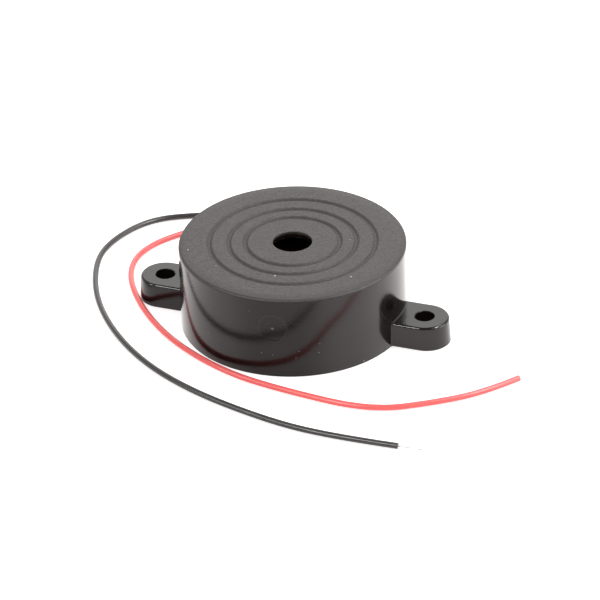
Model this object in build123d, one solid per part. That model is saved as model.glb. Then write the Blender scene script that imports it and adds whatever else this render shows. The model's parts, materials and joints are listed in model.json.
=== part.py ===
from build123d import *
import math
import os

# Piezo buzzer with two fixing ears and two flying leads.
# Millimetres, +Z up through the sound hole, +X along the ears, origin at the centre of the base.

# Housing
body_diameter = 41.3
body_height = 16.0
side_wall = 1.95
top_wall = 1.3
rim_fillet = 0.8
sound_hole_diameter = 7.1
groove_insets = (5.15, 8.65, 11.65)
groove_width = 0.85
groove_floor_width = 0.25
groove_depth = 0.2
front_cavity = 2.2
seat_ring_width = 1.2
seat_ring_inset = 0.4
rib_count = 6
rib_height = 1.1
rib_width = 1.4

# Fixing ears
ear_reach = 4.35
ear_hole_diameter = 3.5
ear_margin = 2.6
ear_height = 4.75
ear_fillet = 0.3
ear_end_extra = 0.15
ear_lean = 0.3

# Moulding gate mark on the front of the wall
gate_mark_diameter = 5.2
gate_mark_depth = 0.15
gate_mark_height = 10.0
gate_mark_angle = -80.6
gate_nub_diameter = 0.6
gate_nub_height = 0.12

# Back cover
cover_thickness = 1.5
cover_recess = 0.2
cover_clearance = 0.1
snap_bead_height = 0.3
snap_bead_width = 0.8
snap_clearance = 0.1
post_diameter = 2.0
post_inset = 1.2

# Sounding element
disc_clearance = 0.1
disc_thickness = 0.3
brass_margin = 5.0
ceramic_thickness = 0.25
electrode_margin = 0.75
electrode_thickness = 0.05
feedback_width = 4.0
feedback_length = 6.5
feedback_gap = 0.6
feedback_angle = 235.0
bond_width = 0.9
bond_height = 0.9

# Circuit board
board_clearance = 0.3
board_thickness = 1.0
copper_thickness = 0.07
pad_diameter = 1.7
track_width = 0.8
leg_width = 0.5
leg_hole_diameter = 0.9
wire_hole_clearance = 0.1
leg_stub = 0.15
joint_diameter = 1.4
joint_tip_diameter = 0.8
joint_height = 0.65

# Components on the board
axial_pitch = 7.5
axial_lift = 0.2
diode_length = 3.8
diode_diameter = 1.85
resistor_length = 3.6
resistor_diameter = 1.9
resistor_waist = 1.6
resistor_cap_length = 0.9
transistor_diameter = 4.6
transistor_flat = 1.3
transistor_length = 4.6
transistor_leg_pitch = 1.27
transistor_hole_pitch = 2.54
transistor_leg_reach = 2.4
transistor_leg_lift = 1.0
transistor_leg_start = 0.7
choke_diameter = 6.0
choke_height = 4.5
choke_flange = 0.9
choke_post_diameter = 2.6
choke_winding_diameter = 5.2
choke_pin_pitch = 5.0

# Wires from the sounding element to the board
wire_diameter = 0.6
wire_straight = 1.6
wire_bend_radius = 1.2

# Flying leads
lead_diameter = 1.08
lead_pitch = 3.0
lead_clearance = 0.1
lead_strip = 3.0
conductor_diameter = 0.3
bare_tip_length = 5.0
lead_joint_diameter = 2.0
lead_joint_height = 0.9

# Places on the board, as shares of its radius
diode_place_share = (-0.394, 0.554)
choke_place_share = (-0.46, 0.054)
transistor_place_share = (0.163, -0.054)
bias_place_share = (-0.394, -0.353)
feedback_place_share = (-0.109, -0.587)
base_place_share = (0.446, -0.353)
plate_hole_share = (0.68, 0.217)
main_hole_share = (-0.174, 0.283)
feedback_hole_share = (-0.462, -0.652)
lead_pad_share = 0.68
main_spot_share = (-0.08, 0.43)
bend_share = 0.45

# How far a cutting tool runs past what it cuts
overrun = 1.0

# Radii and levels worked out from the sizes above
body_radius = body_diameter / 2
inner_radius = body_radius - side_wall
inner_top = body_height - top_wall
seat_level = inner_top - front_cavity
rib_radius = inner_radius - rib_height
disc_radius = rib_radius - disc_clearance
seat_outer_radius = disc_radius - seat_ring_inset
seat_inner_radius = seat_outer_radius - seat_ring_width
disc_bottom = seat_level - disc_thickness
ceramic_diameter = 2 * (disc_radius - brass_margin)
ceramic_bottom = disc_bottom - ceramic_thickness
electrode_bottom = ceramic_bottom - electrode_thickness
electrode_radius = ceramic_diameter / 2 - electrode_margin
cover_top = cover_recess + cover_thickness
cover_radius = inner_radius - cover_clearance
lead_radius = lead_diameter / 2
notch_radius = lead_radius + lead_clearance
lead_level = cover_top + notch_radius
board_bottom = lead_level + notch_radius
board_top = board_bottom + board_thickness
board_radius = inner_radius - board_clearance
copper_bottom = board_bottom - copper_thickness
leg_bottom = copper_bottom - joint_height - leg_stub
ear_centre = body_radius + ear_reach
ear_end_radius = ear_hole_diameter / 2 + ear_margin
axial_level = board_top + max(diode_diameter, resistor_diameter) / 2 + axial_lift
plate_spot_radius = disc_radius - (brass_margin + bond_width) / 2

on_base = (Align.CENTER, Align.CENTER, Align.MIN)
outward = (Align.MIN, Align.CENTER, Align.MIN)


def on_board(share):
    """Place on the board from shares of its radius."""
    return share[0] * board_radius, share[1] * board_radius


def shifted(place, along, across=0):
    """Place moved along X and Y."""
    return place[0] + along, place[1] + across


def plate(radius, bottom, top, place=(0, 0)):
    """Round plate between two levels."""
    return Pos(place[0], place[1], bottom) * Cylinder(radius, top - bottom, align=on_base)


def ring(inner, outer, bottom, top):
    """Round ring between two levels."""
    return plate(outer, bottom, top) - plate(inner, bottom - overrun, top + overrun)


def spun(points):
    """Solid of revolution about Z from an outline of radius and height pairs."""
    return revolve(Plane.XZ * make_face(Polyline(*points, close=True)), Axis.Z)


def square_leg(points):
    """Square leg with mitred bends."""
    path = Polyline(*points)
    section = Plane(origin=path @ 0, z_dir=path % 0) * Rectangle(leg_width, leg_width)
    return sweep(section, path=path, transition=Transition.RIGHT)


def make_grooves():
    """Cutter for the three rings pressed into the top."""
    flank = (groove_width - groove_floor_width) / 2
    floor = body_height - groove_depth
    cutter = None
    for inset in groove_insets:
        outer = body_radius - inset
        inner = outer - groove_width
        cut = spun([
            (inner, body_height),
            (inner + flank, floor),
            (outer - flank, floor),
            (outer, body_height),
        ])
        cutter = cut if cutter is None else cutter + cut
    return cutter


def make_ear():
    """One fixing ear on the +X side, with a leaning end and a rounded upper edge."""
    root = body_radius - side_wall / 2
    end = ear_centre + ear_end_extra + ear_lean
    plan = Rectangle(end, 2 * ear_end_radius, align=(Align.MIN, Align.CENTER))
    plan += Pos(end, 0) * Circle(ear_end_radius)
    ear = extrude(plan, math.hypot(ear_lean, ear_height), dir=(-ear_lean, 0, ear_height))
    ear -= plate(root, -overrun, ear_height + overrun)
    upper = [
        edge for edge in ear.edges().group_by(Axis.Z)[-1]
        if edge.center().X > root or edge.geom_type == GeomType.LINE
    ]
    ear = fillet(upper, ear_fillet)
    return ear - plate(ear_hole_diameter / 2, -overrun, ear_height + overrun, (ear_centre, 0))


def make_gate_mark():
    """Cutter for the flat gate mark, and the nub left in it."""
    floor = Pos(body_radius - gate_mark_depth, 0, gate_mark_height) * Rot(0, 90, 0)
    floor = Rot(0, 0, gate_mark_angle) * floor
    cutter = floor * Cylinder(gate_mark_diameter / 2, overrun, align=on_base)
    sunk = gate_mark_depth
    nub = floor * Pos(0, 0, -sunk) * Cylinder(gate_nub_diameter / 2, gate_nub_height + sunk, align=on_base)
    return cutter, nub


def make_housing():
    """Moulded cup with its ears, element seat, ribs and lead notches."""
    housing = spun([
        (inner_radius, 0),
        (body_radius, 0),
        (body_radius, body_height),
        (sound_hole_diameter / 2, body_height),
        (sound_hole_diameter / 2, inner_top),
        (seat_inner_radius, inner_top),
        (seat_inner_radius, seat_level),
        (seat_outer_radius, seat_level),
        (seat_outer_radius, inner_top),
        (inner_radius, inner_top),
    ])
    rim = housing.edges().group_by(Axis.Z)[-1].sort_by(SortBy.RADIUS)[-1]
    housing = fillet(rim, rim_fillet)
    housing -= make_grooves()
    cutter, nub = make_gate_mark()
    housing = housing - cutter + nub
    rib = Box(rib_height + side_wall / 2, rib_width, inner_top - board_top, align=outward)
    rib -= Pos(-rib_radius, 0, -board_top) * plate(rib_radius, 0, body_height)
    for place in PolarLocations(rib_radius, rib_count):
        housing += Pos(0, 0, board_top) * place * rib
    ear = make_ear()
    housing += [ear, Rot(0, 0, 180) * ear]
    housing -= make_snap_bead(snap_clearance)
    for side in (-1, 1):
        notch = Pos(side * lead_pitch / 2, 0, lead_level) * Rot(-90, 0, 0)
        housing -= notch * Cylinder(notch_radius, body_radius + overrun, align=on_base)
        housing -= Pos(side * lead_pitch / 2, 0, 0) * Box(
            2 * notch_radius, body_radius + overrun, lead_level, align=(Align.CENTER, Align.MIN, Align.MIN)
        )
    return housing


def make_snap_bead(clearance):
    """Ring round the edge of the cover that snaps into the wall."""
    middle = (cover_recess + cover_top) / 2
    half = snap_bead_width / 2 + clearance
    root = cover_radius - side_wall
    tip = cover_radius + snap_bead_height + clearance
    return spun([
        (root, middle - half),
        (cover_radius, middle - half),
        (tip, middle),
        (cover_radius, middle + half),
        (root, middle + half),
    ])


def make_back_cover():
    """Cover with its snap bead, board posts and a tongue below each lead."""
    cover = plate(cover_radius, cover_recess, cover_top) + make_snap_bead(0)
    for place in PolarLocations(board_radius - post_inset, rib_count):
        cover += Pos(0, 0, cover_top) * place * Cylinder(
            post_diameter / 2, board_bottom - cover_top, align=on_base
        )
    tongue_width = 2 * notch_radius - 2 * cover_clearance
    for side in (-1, 1):
        tongue = Pos(side * lead_pitch / 2, 0, cover_recess) * Box(
            tongue_width, body_radius, cover_thickness, align=(Align.CENTER, Align.MIN, Align.MIN)
        )
        cover += tongue & plate(body_radius - cover_clearance, cover_recess, cover_top)
    return cover


def feedback_outline(margin):
    """Tongue of the feedback electrode, wider by a margin all round."""
    length = feedback_length + margin
    tongue = Rectangle(length, feedback_width + 2 * margin, align=(Align.MAX, Align.CENTER))
    tongue = Pos(electrode_radius, 0) * tongue
    tongue += Pos(electrode_radius - length, 0) * Circle(feedback_width / 2 + margin)
    return Rot(0, 0, feedback_angle) * tongue


def make_electrodes():
    """Main and feedback electrodes under the ceramic."""
    field = Circle(electrode_radius)
    main = field - feedback_outline(feedback_gap)
    feedback = field & feedback_outline(0)
    lift = Pos(0, 0, electrode_bottom)
    return lift * extrude(main, electrode_thickness), lift * extrude(feedback, electrode_thickness)


def make_silicone_bond():
    """Bead of silicone that seals the edge of the disc to the housing, cut away at the ribs."""
    inner = disc_radius - bond_width
    bead = spun([
        (inner, disc_bottom),
        (inner_radius, disc_bottom - bond_height),
        (inner_radius, seat_level),
        (disc_radius, seat_level),
        (disc_radius, disc_bottom),
    ])
    gap = Box(rib_height + side_wall, rib_width, body_height, align=outward)
    for place in PolarLocations(rib_radius, rib_count):
        bead -= place * gap
    return bead


def axial_ends(place):
    """Holes for the two legs of an axial component."""
    return shifted(place, -axial_pitch / 2), shifted(place, axial_pitch / 2)


def board_holes():
    """Every hole through the board, by name."""
    holes = {}
    for name, share in axial_shares.items():
        holes[name + "_left"], holes[name + "_right"] = axial_ends(on_board(share))
    choke = on_board(choke_place_share)
    holes["choke_left"] = shifted(choke, -choke_pin_pitch / 2)
    holes["choke_right"] = shifted(choke, choke_pin_pitch / 2)
    row = on_board(transistor_place_share)
    for step, name in zip((-1, 0, 1), ("collector", "base", "emitter")):
        holes[name] = shifted(row, step * transistor_hole_pitch)
    for name, share in wire_shares.items():
        holes[name] = on_board(share)
    return holes


axial_shares = {
    "diode": diode_place_share,
    "bias": bias_place_share,
    "feedback": feedback_place_share,
    "base_load": base_place_share,
}
wire_shares = {
    "plate_wire": plate_hole_share,
    "main_wire": main_hole_share,
    "feedback_wire": feedback_hole_share,
}
lead_pads = {
    "red_pad": (-lead_pitch / 2, lead_pad_share * board_radius),
    "black_pad": (lead_pitch / 2, lead_pad_share * board_radius),
}
tracks = (
    ("red_pad", "diode_right"),
    ("diode_left", "choke_left"),
    ("choke_left", "bias_left"),
    ("choke_right", "collector"),
    ("choke_right", "main_wire"),
    ("bias_right", "base"),
    ("base_load_left", "base"),
    ("feedback_right", "base_load_left"),
    ("feedback_left", "feedback_wire"),
    ("emitter", "base_load_right"),
    ("base_load_right", "plate_wire"),
    ("plate_wire", "black_pad"),
)


def hole_radius(name):
    """Radius of the hole for a leg or a wire."""
    if name in wire_shares:
        return wire_diameter / 2 + wire_hole_clearance
    return leg_hole_diameter / 2


def drilled(shape, holes):
    """Shape with every hole of the board cut through it."""
    for name, place in holes.items():
        shape -= plate(hole_radius(name), copper_bottom - overrun, board_top + overrun, place)
    return shape


def make_copper(holes):
    """Pads and tracks under the board."""
    places = holes | lead_pads
    copper = Sketch()
    for place in places.values():
        copper += Pos(*place) * Circle(pad_diameter / 2)
    for start, end in tracks:
        run = Line(places[start], places[end])
        middle = run @ 0.5
        turn = math.degrees(math.atan2((run % 0).Y, (run % 0).X))
        copper += Pos(middle.X, middle.Y) * Rectangle(run.length, track_width, rotation=turn)
    return drilled(Pos(0, 0, copper_bottom) * extrude(copper, copper_thickness), holes)


def solder_joint(place, face, is_wire):
    """Cone of solder round a wire or a square leg, hanging from a face."""
    joint = Cone(joint_diameter / 2, joint_tip_diameter / 2, joint_height, align=on_base)
    if is_wire:
        joint -= Cylinder(wire_diameter / 2, body_height)
    else:
        joint -= Box(leg_width, leg_width, body_height)
    return Pos(place[0], place[1], face) * Rot(180, 0, 0) * joint


def axial_legs(place, body_length):
    """Two bent legs of an axial component."""
    legs = []
    for side, end in zip((-1, 1), axial_ends(place)):
        start = shifted(place, side * body_length / 2)
        points = [(*start, axial_level), (*end, axial_level), (*end, leg_bottom)]
        legs.append(square_leg(points))
    return legs


def make_resistor(place):
    """Resistor body with a waist between its end caps."""
    half = resistor_length / 2
    waist = half - resistor_cap_length
    body = spun([
        (0, -half),
        (resistor_diameter / 2, -half),
        (resistor_diameter / 2, -waist),
        (resistor_waist / 2, -waist),
        (resistor_waist / 2, waist),
        (resistor_diameter / 2, waist),
        (resistor_diameter / 2, half),
        (0, half),
    ])
    return Pos(place[0], place[1], axial_level) * Rot(0, 90, 0) * body


def make_diode(place):
    """Glass body of the diode."""
    return Pos(place[0], place[1], axial_level) * Rot(0, 90, 0) * Cylinder(diode_diameter / 2, diode_length)


def make_transistor(place):
    """Transistor lying on its flat face."""
    section = Circle(transistor_diameter / 2)
    section &= Pos(0, -transistor_flat) * Rectangle(
        transistor_diameter, transistor_diameter, align=(Align.CENTER, Align.MIN)
    )
    near = place[1] + transistor_leg_reach
    lying = Pos(place[0], near, board_top + transistor_flat) * Rot(90, 0, 0)
    return lying * extrude(section, -transistor_length)


def transistor_legs(place):
    """Three legs spread from the transistor to their holes."""
    legs = []
    level = board_top + transistor_leg_lift
    near = place[1] + transistor_leg_reach
    for step in (-1, 0, 1):
        start = place[0] + step * transistor_leg_pitch
        end = place[0] + step * transistor_hole_pitch
        points = [(start, near, level), (end, place[1], level), (end, place[1], leg_bottom)]
        if step:
            jog = near - transistor_leg_start
            points[1:1] = [(start, jog, level), (end, jog, level)]
        legs.append(square_leg(points))
    return legs


def make_choke(place):
    """Drum core and winding of the choke."""
    top = board_top + choke_height
    lower = board_top + choke_flange
    upper = top - choke_flange
    core = plate(choke_diameter / 2, board_top, lower) + plate(choke_diameter / 2, upper, top)
    core += plate(choke_post_diameter / 2, board_top, top)
    winding = ring(choke_post_diameter / 2, choke_winding_diameter / 2, lower, upper)
    move = Pos(*place)
    return move * core, move * winding


def make_wire(spot, hole, start):
    """Wire hanging from the sounding element to its hole in the board."""
    low = board_top + wire_straight
    points = [(*spot, start), (*spot, start - wire_straight), (*hole, low), (*hole, leg_bottom)]
    path = FilletPolyline(*points, radius=wire_bend_radius)
    section = Plane(origin=path @ 0, z_dir=path % 0) * Circle(wire_diameter / 2)
    return sweep(section, path=path)


def lead_radii(points):
    """Radius of the arc at each corner of a lead's route."""
    radii = []
    for index in range(1, len(points) - 1):
        before = Vector(*points[index]) - Vector(*points[index - 1])
        after = Vector(*points[index + 1]) - Vector(*points[index])
        shorter = min(before.length, after.length)
        turn = math.radians(before.get_angle(after))
        radii.append(bend_share * shorter / math.tan(turn / 2))
    return radii


def make_lead(points, name):
    """One lead along its route, with its bare outer tip and inner tail."""
    radii = lead_radii(points)
    path = FilletPolyline(*points, radius=radii)
    lead = sweep(Plane(origin=path @ 0, z_dir=path % 0) * Circle(lead_radius), path=path)
    tip = Plane(origin=path @ 1, z_dir=path % 1) * Cylinder(
        conductor_diameter / 2, bare_tip_length, align=on_base
    )
    tail = Plane(origin=path @ 0, z_dir=-(path % 0)) * Cylinder(
        conductor_diameter / 2, lead_strip, align=on_base
    )
    expected = math.pi * lead_radius**2 * path.length
    print(name, "arc radii", [round(radius, 1) for radius in radii])
    print(name, "length", round(path.length, 1), "volume ratio", round(lead.volume / expected, 4))
    return lead, tip, tail


# Routes of the leads, from where they are stripped inside to their free ends on the floor
lead_end = lead_pad_share * board_radius + lead_strip
red_route = [
    (-lead_pitch / 2, lead_end, lead_level),
    (-lead_pitch / 2, 22.6, lead_level),
    (-4.5, 29.0, 1.1),
    (-12.0, 32.0, lead_radius),
    (-20.8, 30.0, lead_radius),
    (-27.2, 24.6, lead_radius),
    (-34.7, 15.3, lead_radius),
    (-34.9, 5.7, lead_radius),
    (-28.05, -5.7, lead_radius),
    (-17.8, -15.6, lead_radius),
    (-5.0, -22.5, lead_radius),
    (6.8, -25.0, lead_radius),
    (23.9, -26.8, lead_radius),
    (34.5, -20.4, lead_radius),
    (41.3, -14.7, lead_radius),
    (45.6, -8.55, lead_radius),
]
black_route = [
    (lead_pitch / 2, lead_end, lead_level),
    (lead_pitch / 2, 22.5, lead_level),
    (-1.0, 29.8, 1.1),
    (-8.0, 33.6, lead_radius),
    (-17.5, 33.2, lead_radius),
    (-28.5, 29.0, lead_radius),
    (-37.5, 24.5, lead_radius),
    (-41.8, 14.8, lead_radius),
    (-41.5, 5.9, lead_radius),
    (-35.7, -7.6, lead_radius),
    (-24.7, -20.5, lead_radius),
    (-11.0, -29.4, lead_radius),
    (7.7, -35.4, lead_radius),
    (20.5, -36.8, lead_radius),
    (32.3, -36.3, lead_radius),
]


def lead_joint(pad, tail):
    """Blob of solder that holds a lead's tail under its pad."""
    blob = Cone(lead_joint_diameter / 2, joint_diameter / 2, lead_joint_height, align=on_base)
    return Pos(pad[0], pad[1], copper_bottom) * Rot(180, 0, 0) * blob - tail


def make_nodes():
    """Every node of the buzzer, by name."""
    holes = board_holes()
    places = {name: on_board(share) for name, share in axial_shares.items()}
    choke_place = on_board(choke_place_share)
    transistor_place = on_board(transistor_place_share)
    main_electrode, feedback_electrode = make_electrodes()
    choke_core, choke_winding = make_choke(choke_place)
    red_lead, red_tip, red_tail = make_lead(red_route, "red lead")
    black_lead, black_tip, black_tail = make_lead(black_route, "black lead")
    feedback_turn = math.radians(feedback_angle)
    feedback_reach = electrode_radius - feedback_length / 2
    plate_hole = holes["plate_wire"]
    plate_turn = math.atan2(plate_hole[1], plate_hole[0])
    spots = {
        "plate_wire": (plate_spot_radius * math.cos(plate_turn), plate_spot_radius * math.sin(plate_turn)),
        "main_wire": on_board(main_spot_share),
        "feedback_wire": (feedback_reach * math.cos(feedback_turn), feedback_reach * math.sin(feedback_turn)),
    }
    faces = {"plate_wire": disc_bottom, "main_wire": electrode_bottom, "feedback_wire": electrode_bottom}
    resistors = ("bias", "feedback", "base_load")
    nodes = {
        "housing": make_housing(),
        "back_cover": make_back_cover(),
        "brass_diaphragm": plate(disc_radius, disc_bottom, seat_level),
        "piezo_ceramic": plate(ceramic_diameter / 2, ceramic_bottom, disc_bottom),
        "main_electrode": main_electrode,
        "feedback_electrode": feedback_electrode,
        "silicone_bond": make_silicone_bond(),
        "circuit_board": drilled(plate(board_radius, board_bottom, board_top), holes),
        "copper_tracks": make_copper(holes),
        "transistor": make_transistor(transistor_place),
        "transistor_legs": Compound(transistor_legs(transistor_place)),
        "choke_core": choke_core,
        "choke_winding": choke_winding,
        "choke_pins": Compound([
            square_leg([(*holes[name], board_top), (*holes[name], leg_bottom)])
            for name in ("choke_left", "choke_right")
        ]),
        "polarity_diode": make_diode(places["diode"]),
        "diode_legs": Compound(axial_legs(places["diode"], diode_length)),
        "bias_resistor": make_resistor(places["bias"]),
        "feedback_resistor": make_resistor(places["feedback"]),
        "base_resistor": make_resistor(places["base_load"]),
        "resistor_legs": Compound([
            leg for name in resistors for leg in axial_legs(places[name], resistor_length)
        ]),
        "board_solder": Compound([
            solder_joint(place, copper_bottom, name in wire_shares) for name, place in holes.items()
        ]),
        "element_solder": Compound([
            solder_joint(spot, faces[name], True) for name, spot in spots.items()
        ]),
        "lead_solder": Compound([
            lead_joint(lead_pads["red_pad"], red_tail),
            lead_joint(lead_pads["black_pad"], black_tail),
        ]),
        "red_lead": red_lead,
        "red_lead_tip": red_tip,
        "red_lead_tail": red_tail,
        "black_lead": black_lead,
        "black_lead_tip": black_tip,
        "black_lead_tail": black_tail,
    }
    for name, spot in spots.items():
        nodes[name] = make_wire(spot, holes[name], faces[name])
    return nodes


os.makedirs("parts", exist_ok=True)
for node, shape in make_nodes().items():
    export_step(shape, f"parts/{node}.step")
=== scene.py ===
import json
import math

import bmesh
import bpy
from bpy.props import FloatProperty, FloatVectorProperty, IntProperty, PointerProperty
from mathutils import Matrix, Vector


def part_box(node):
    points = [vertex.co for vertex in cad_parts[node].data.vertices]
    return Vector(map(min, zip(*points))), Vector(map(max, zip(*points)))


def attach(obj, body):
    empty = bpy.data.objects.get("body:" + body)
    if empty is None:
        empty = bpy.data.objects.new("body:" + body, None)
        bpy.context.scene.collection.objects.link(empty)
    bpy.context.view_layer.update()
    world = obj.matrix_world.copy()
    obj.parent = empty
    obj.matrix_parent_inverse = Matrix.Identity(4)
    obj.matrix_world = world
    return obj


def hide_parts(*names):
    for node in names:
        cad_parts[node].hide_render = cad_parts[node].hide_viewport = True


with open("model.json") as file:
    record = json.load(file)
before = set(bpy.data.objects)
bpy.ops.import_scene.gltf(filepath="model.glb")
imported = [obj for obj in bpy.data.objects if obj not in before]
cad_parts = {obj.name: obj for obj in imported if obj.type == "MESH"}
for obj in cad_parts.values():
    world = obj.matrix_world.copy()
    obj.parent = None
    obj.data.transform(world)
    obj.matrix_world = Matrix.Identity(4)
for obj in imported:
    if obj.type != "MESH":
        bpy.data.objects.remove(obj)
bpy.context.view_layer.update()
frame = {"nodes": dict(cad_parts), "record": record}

bl_info = {
    "name": "Piezo buzzer with flying leads",
    "version": (1, 0, 0),
    "blender": (4, 5, 0),
    "location": "View3D > Sidebar > Buzzer",
    "description": "Moulded housing, leads, bare ends and inner parts of a piezo buzzer",
    "category": "Object",
}

HOUSING_LOW, HOUSING_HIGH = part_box("housing")
COVER_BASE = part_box("back_cover")[0].z
BOARD_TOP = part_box("circuit_board")[1].z
EARS = next(mount for mount in frame["record"]["mounts"] if mount["name"] == "mounting_ears")["dims"]
BODY = "root"
MM = 0.001
# How far a piece that joins the body reaches below its surface, and a cut reaches past it
SUNK = 0.02 * MM
PAST = 1.0 * MM
# Strip kept beside a rounding, so that the flat next to it shades evenly
SUPPORT = 0.05 * MM
EAR_SUPPORT = 0.06 * MM
# Sides of round forms, steps of arcs, and the angle from which an edge stays sharp
BODY_SIDES = 320
HOLE_SIDES = 96
FLOOR_SIDES = 96
STRAND_SIDES = 8
STRAND_STEPS = 32
EAR_END_STEPS = 64
EAR_BLEND_STEPS = 8
EAR_EDGE_STEPS = 9
NOTCH_STEPS = 24
ARC_STEP = math.radians(9)
SHARP = math.radians(32)
# The cut of a lead's notch, from inside the wall to outside it
NOTCH_SPAN = (15 * MM, 22 * MM)
# Section of the gate's nub, as parts of its radius and of its height
NUB_SECTION = ((0.35, 1.0), (0.75, 0.8), (1.0, 0.4), (1.0, 0.0))
# Distance of the outer strands from the middle one, in strand radii
STRAND_LAY = 2.02
FLOOR_GAP = 0.02 * MM
# Bearings over which the floor's front shade fades in and out, in reflections
FRONT_IN = (math.radians(-38), math.radians(-18))
FRONT_OUT = (math.radians(0), math.radians(26))
# Sines of the bearings over which the floor's left shade gives way to its right one
RIGHT_IN = (-0.70, -0.05)
# Parts of a direction over which the mirrored sky turns bright behind, and dark again overhead
BEHIND_IN = (-0.35, 0.35)
OVERHEAD_IN = (0.60, 0.90)
SENSOR_WIDTH = 36.0
IMAGE_PIXELS = 600
WHITE = (1.0, 1.0, 1.0)

# Leads: radius, and the level and the place inside the wall where they start
LEAD_RADIUS = 0.54 * MM
LEAD_LEVEL = 2.34 * MM
LEAD_START = 15.512 * MM


def along_floor(start, places):
    """Route of a lead in metres: out through the wall and down, then along the floor."""
    return (*start, *((x, y, LEAD_RADIUS) for x, y in places))


RED_ROUTE = along_floor(
    ((-0.0015, LEAD_START, LEAD_LEVEL), (-0.0015, 0.0226, LEAD_LEVEL), (-0.0045, 0.0290, 0.0011)),
    (
        (-0.0120, 0.0320), (-0.0208, 0.0300), (-0.0272, 0.0246), (-0.0347, 0.0153),
        (-0.0349, 0.0057), (-0.02805, -0.0057), (-0.0178, -0.0156), (-0.0050, -0.0225),
        (0.0068, -0.0250), (0.0239, -0.0268), (0.0345, -0.0204), (0.0413, -0.0147),
        (0.0456, -0.00855),
    ),
)
BLACK_ROUTE = along_floor(
    ((0.0015, LEAD_START, LEAD_LEVEL), (0.0015, 0.0225, LEAD_LEVEL), (-0.0010, 0.0298, 0.0011)),
    (
        (-0.0080, 0.0336), (-0.0175, 0.0332), (-0.0285, 0.0290), (-0.0375, 0.0245),
        (-0.0418, 0.0148), (-0.0415, 0.0059), (-0.0357, -0.0076), (-0.0247, -0.0205),
        (-0.0110, -0.0294), (0.0077, -0.0354), (0.0205, -0.0368), (0.0323, -0.0363),
    ),
)

# Dust flecks on the top and on the wall: place in metres and radius in millimetres
FLECKS = (
    ((0.00114, -0.01232, 0.016), 0.17),
    ((-0.00767, -0.01324, 0.016), 0.13),
    ((-0.01017, -0.01218, 0.016), 0.09),
    ((-0.00974, -0.00614, 0.016), 0.10),
    ((-0.01698, -0.00839, 0.016), 0.14),
    ((0.01422, -0.00861, 0.016), 0.15),
    ((0.00975, 0.00364, 0.016), 0.09),
    ((0.01729, -0.01129, 0.00055), 0.15),
    ((0.01103, -0.01746, 0.0047), 0.10),
    ((0.01122, -0.01734, 0.0065), 0.07),
    ((0.00731, -0.01931, 0.0040), 0.08),
    ((0.00784, -0.01910, 0.0053), 0.08),
    ((0.00330, -0.02038, 0.0045), 0.07),
    ((0.00125, -0.02061, 0.0047), 0.08),
    ((-0.00085, -0.02063, 0.0131), 0.07),
    ((-0.00985, -0.01815, 0.0054), 0.09),
)

# Stretches of a grain
EVEN = (1.0, 1.0, 1.0)
BRUSHED = (0.08, 1.0, 1.0)
PRESSED = (0.2, 1.0, 1.0)
WOUND = (0.05, 0.05, 1.0)

# Finishes of the parts that keep their CAD shape, by material slot: name, two near colours, grain in
# millimetres, roughness, depth of the grain in millimetres, metallic and the grain's stretch
INNER_FINISHES = {
    "cover_plastic": ("cover_plastic", (0.036, 0.035, 0.034), (0.050, 0.048, 0.047), 0.2, 0.48, 0.02),
    "brass": ("rolled_brass", (0.40, 0.27, 0.10), (0.31, 0.20, 0.07), 0.12, 0.16, 0.004, 1.0, BRUSHED),
    "piezo_ceramic": ("fired_ceramic", (0.60, 0.56, 0.47), (0.53, 0.48, 0.40), 0.10, 0.6, 0.008),
    "silver": ("printed_silver", (0.78, 0.77, 0.74), (0.68, 0.66, 0.62), 0.14, 0.42, 0.006, 1.0),
    "silicone": ("silicone_bead", (0.80, 0.80, 0.78), (0.72, 0.72, 0.70), 0.6, 0.4, 0.03),
    "board": ("paper_board", (0.46, 0.31, 0.14), (0.38, 0.25, 0.11), 0.25, 0.55, 0.01, 0.0, PRESSED),
    "copper": ("etched_copper", (0.72, 0.36, 0.22), (0.60, 0.29, 0.17), 0.15, 0.32, 0.006, 1.0),
    "component_black": ("moulded_epoxy", (0.024, 0.024, 0.025), (0.036, 0.036, 0.037), 0.1, 0.5, 0.012),
    "ferrite": ("sintered_ferrite", (0.055, 0.055, 0.06), (0.085, 0.083, 0.085), 0.12, 0.55, 0.015),
    "winding": ("enamelled_wire", (0.50, 0.17, 0.07), (0.40, 0.12, 0.05), 0.14, 0.28, 0.05, 0.7, WOUND),
    "diode_glass": ("diode_glass", (0.66, 0.22, 0.07), (0.52, 0.15, 0.05), 0.5, 0.12, 0.004),
    "tinned_wire": ("tinned_wire", (0.66, 0.64, 0.60), (0.56, 0.53, 0.49), 0.1, 0.3, 0.006, 1.0),
    "solder": ("solder", (0.60, 0.60, 0.59), (0.48, 0.48, 0.47), 0.2, 0.3, 0.015, 1.0),
    "black_pvc": ("plate_wire_sleeve", (0.024, 0.024, 0.024), (0.038, 0.037, 0.036), 0.2, 0.4, 0.01),
    "white_pvc": ("main_wire_sleeve", (0.78, 0.77, 0.74), (0.70, 0.69, 0.66), 0.2, 0.4, 0.01),
    "blue_pvc": ("feedback_wire_sleeve", (0.05, 0.13, 0.42), (0.04, 0.10, 0.34), 0.2, 0.4, 0.01),
}
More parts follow.
